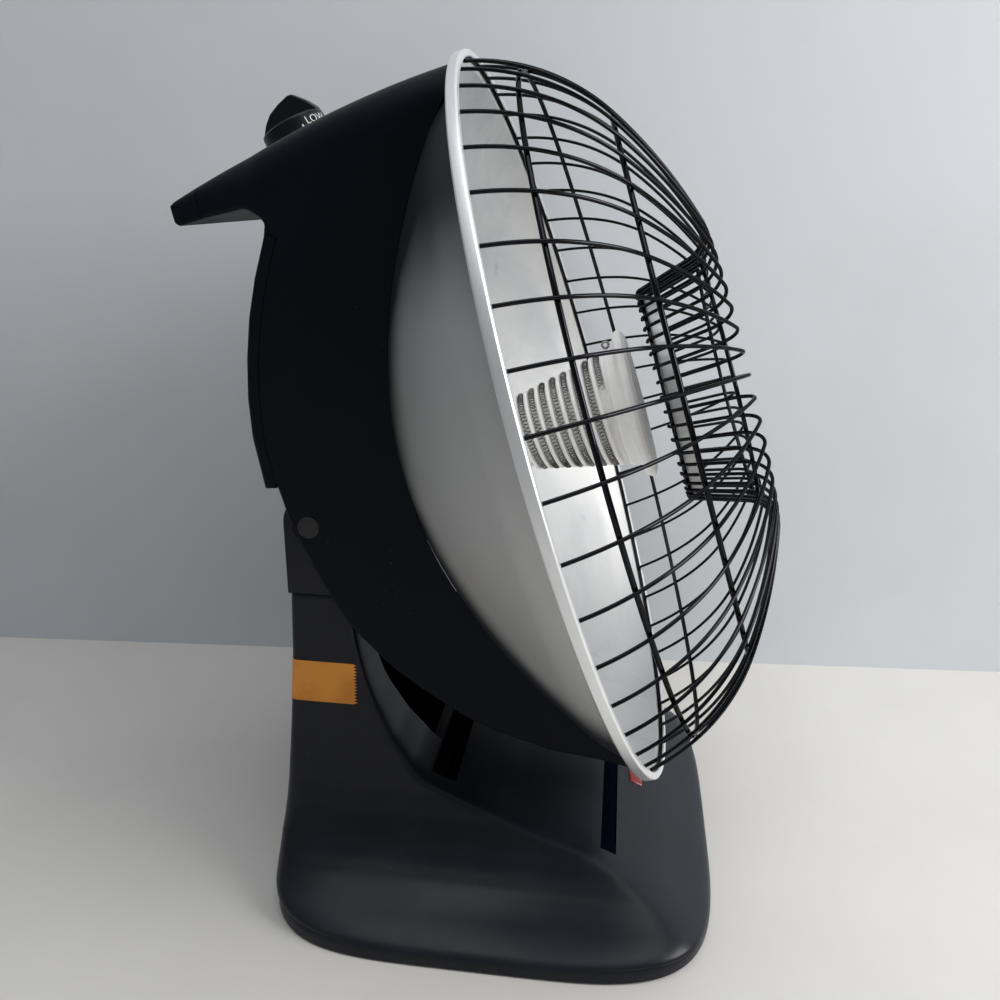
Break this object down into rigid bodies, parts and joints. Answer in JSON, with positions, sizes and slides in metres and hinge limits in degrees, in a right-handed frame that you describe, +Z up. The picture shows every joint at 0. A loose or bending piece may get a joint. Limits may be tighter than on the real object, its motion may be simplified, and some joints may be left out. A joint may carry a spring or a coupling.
{
  "type": "parabolic heater",
  "caption": "Electric radiant heater: polished parabolic dish with a domed wire grille and a wound ceramic element, tilting on the column of a wide black base.",
  "frame": {"origin": "on the surface it stands on, under the middle of the whole heater", "axes": "+Z up, -Y out of the front of the dish, +X along the tilt pin; the body is symmetric about X = 0"},
  "size_m": [0.432, 0.3338, 0.4914],
  "materials": {
    "base_plastic": "smooth black moulding, half gloss",
    "housing_plastic": "smooth black moulding, satin",
    "knob_plastic": null,
    "plug_plastic": "black domed plug",
    "gland_plastic": "black moulding",
    "switch_plastic": "dark moulding",
    "rubber": "black rubber",
    "smoked_lens": "smoked glossy strip",
    "red_lens": "glossy red",
    "lamp_glass": "clear glass of a neon lamp",
    "steel_plate": "black painted sheet steel",
    "steel": "zinc-plated steel",
    "dish_metal": "polished spun sheet",
    "rim_metal": "polished rolled band",
    "grille_chrome": "bright plated wire",
    "hub_metal": "polished pressed sheet",
    "ceramic": "white unglazed ceramic",
    "element_wire": "dull resistance wire",
    "brass": "threaded lamp cap"
  },
  "bodies": {
    "base": {"base_shell": "base_plastic", "column_cap": "base_plastic", "bottom_plate": "steel_plate", "bottom_screws": "steel", "rubber_feet": "rubber", "footlight_lens": "smoked_lens", "pilot_lens": "red_lens", "pilot_lamp": "lamp_glass", "tip_switch": "switch_plastic", "cord_gland": "gland_plastic", "pivot_pin": "steel"},
    "head": {"housing_shell": "housing_plastic", "back_cover": "housing_plastic", "cover_screws": "steel", "grip_cap": "housing_plastic", "pivot_plugs": "plug_plastic", "reflector_dish": "dish_metal", "rim_ring": "rim_metal", "grille_wires": "grille_chrome", "grille_ring_rim": "grille_chrome", "grille_ring_outer": "grille_chrome", "grille_ring_middle": "grille_chrome", "grille_ring_mouth": "grille_chrome", "grille_ring_hub": "grille_chrome", "hub_plate": "hub_metal", "element_cone": "ceramic", "element_coil": "element_wire", "element_disc": "ceramic", "element_eyelet": "element_wire", "element_neck": "ceramic", "screw_shell": "brass", "lamp_holder": "ceramic", "holder_bracket": "steel", "bracket_screws": "steel", "thermostat_body": "switch_plastic", "thermostat_nut": "steel"},
    "knob": {"thermostat_spindle": "steel", "thermostat_knob": "knob_plastic"},
    "plunger": {"tip_plunger": "switch_plastic"}
  },
  "joints": [
    {"name": "head_tilt", "type": "hinge", "parent": "base", "child": "head", "pos_m": [0, 0.1008, 0.237], "axis": [-1, 0, 0], "range_deg": [-9, 12]},
    {"name": "knob_turn", "type": "hinge", "parent": "head", "child": "knob", "pos_m": [0, 0.12064, 0.43681], "axis": [0, -0.4726, -0.8813], "range_deg": [0, 270]},
    {"name": "plunger_slide", "type": "slide", "parent": "base", "child": "plunger", "axis": [0, 0, -1], "range_m": [0, 0.006], "stiffness_N_per_m": 100, "springref_m": 0.012}
  ]
}
